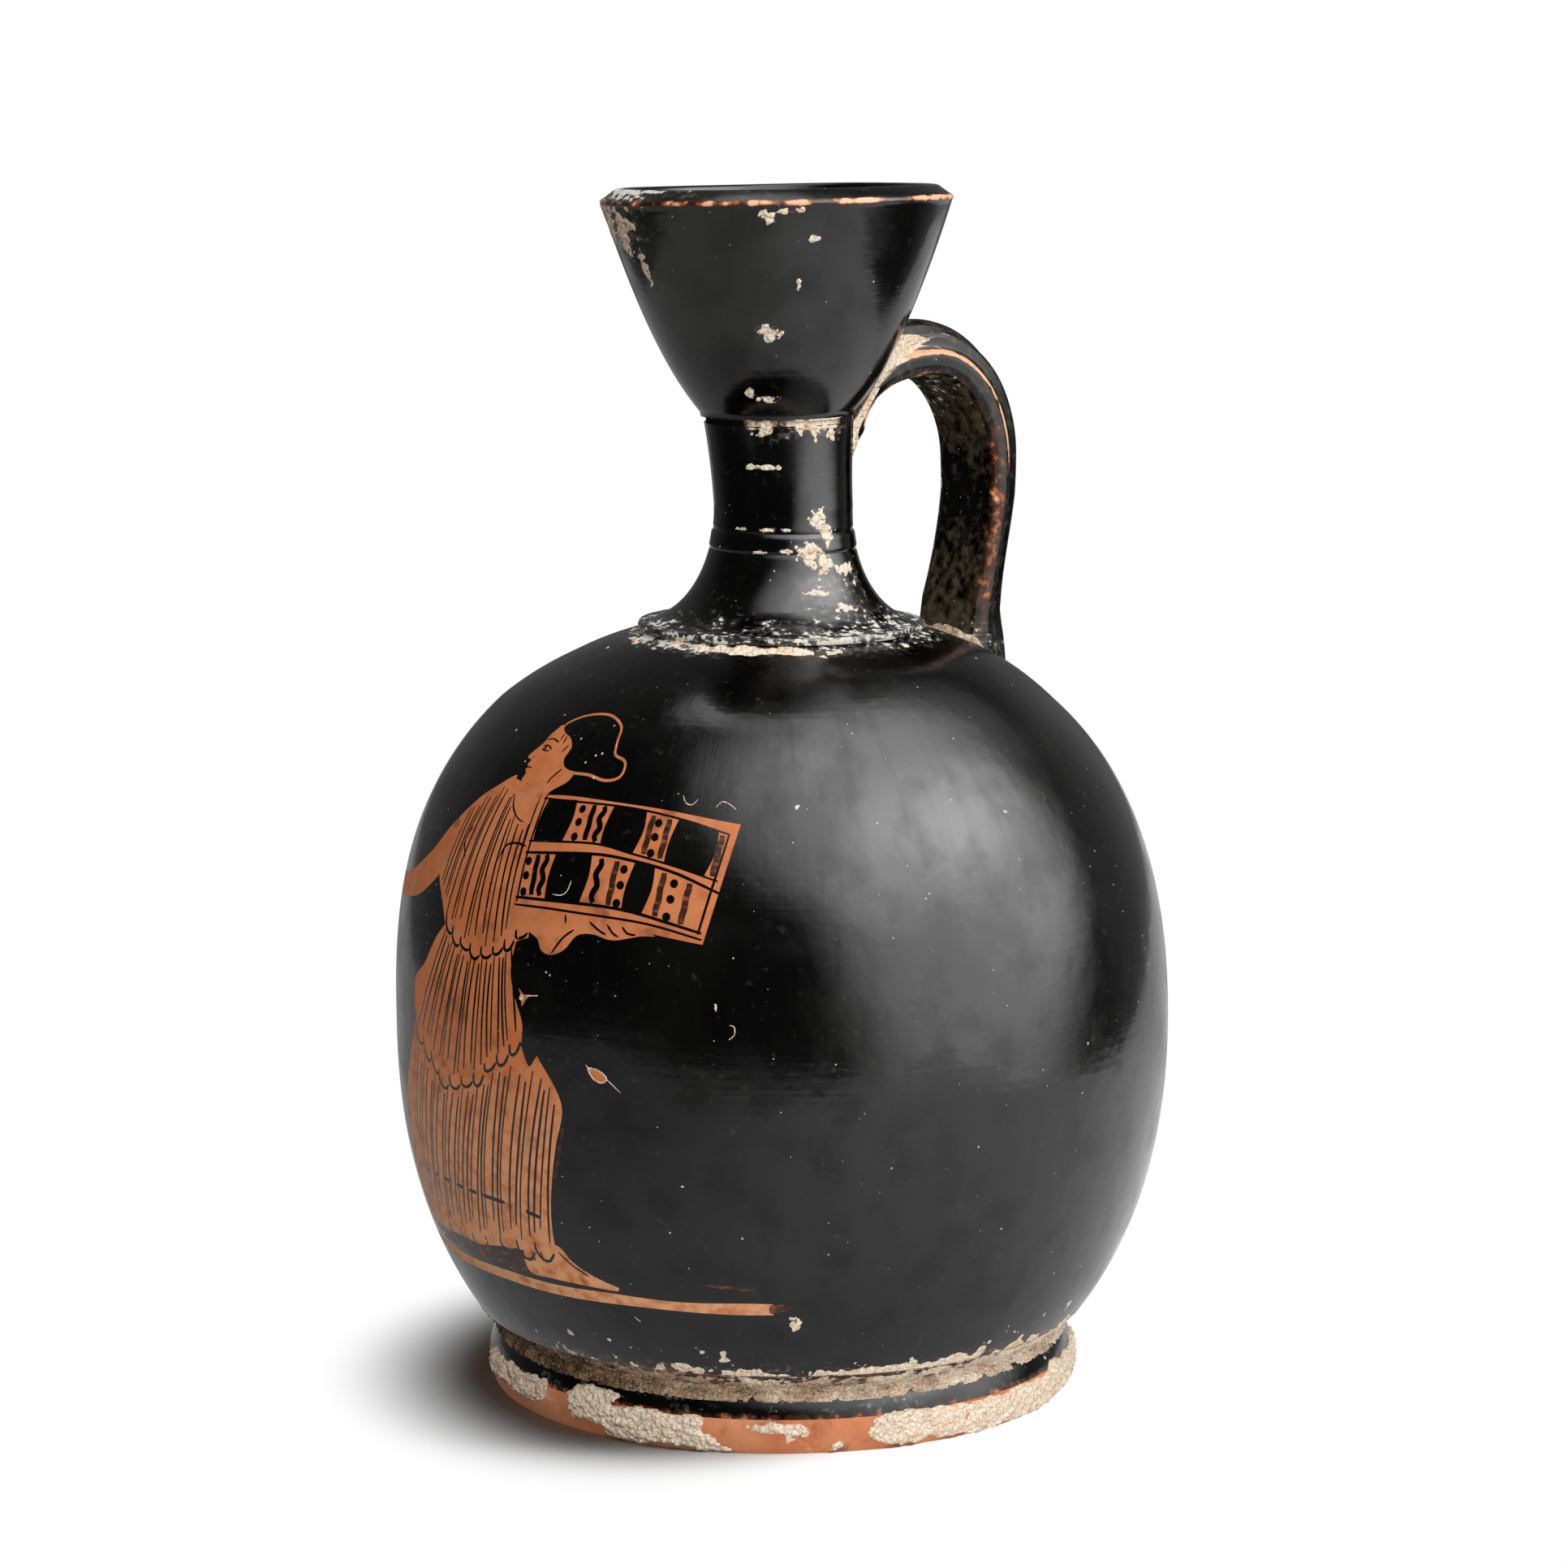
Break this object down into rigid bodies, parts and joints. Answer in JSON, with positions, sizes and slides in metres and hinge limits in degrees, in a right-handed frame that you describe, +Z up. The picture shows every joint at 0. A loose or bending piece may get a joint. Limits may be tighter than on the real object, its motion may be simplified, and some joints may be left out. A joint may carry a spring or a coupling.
{
  "type": "lekythos",
  "caption": "Squat clay oil jug in black gloss with a globular body, waisted neck, funnel mouth, ridged strap handle and disc foot, for pouring oil slowly.",
  "frame": {"origin": "centre of the ring that the foot stands on, on the vessel's axis, in the resting plane", "axes": "+Z up along the vessel's axis, +Y towards the handle, -Y towards the painted figure"},
  "size_m": [0.1036, 0.1036, 0.16],
  "materials": {
    "black_gloss": "glossy fired slip, worn to clay on edges",
    "fired_clay": "matt orange fired clay",
    "luting_slip": "matt cream seam with lime and earth crust"
  },
  "bodies": {
    "root": {"foot": "fired_clay", "body": "black_gloss", "neck": "black_gloss", "mouth": "black_gloss", "handle": "black_gloss", "foot_luting": "luting_slip", "neck_luting": "luting_slip", "mouth_luting": "luting_slip", "handle_top_luting": "luting_slip", "handle_base_luting": "luting_slip"}
  },
  "joints": []
}
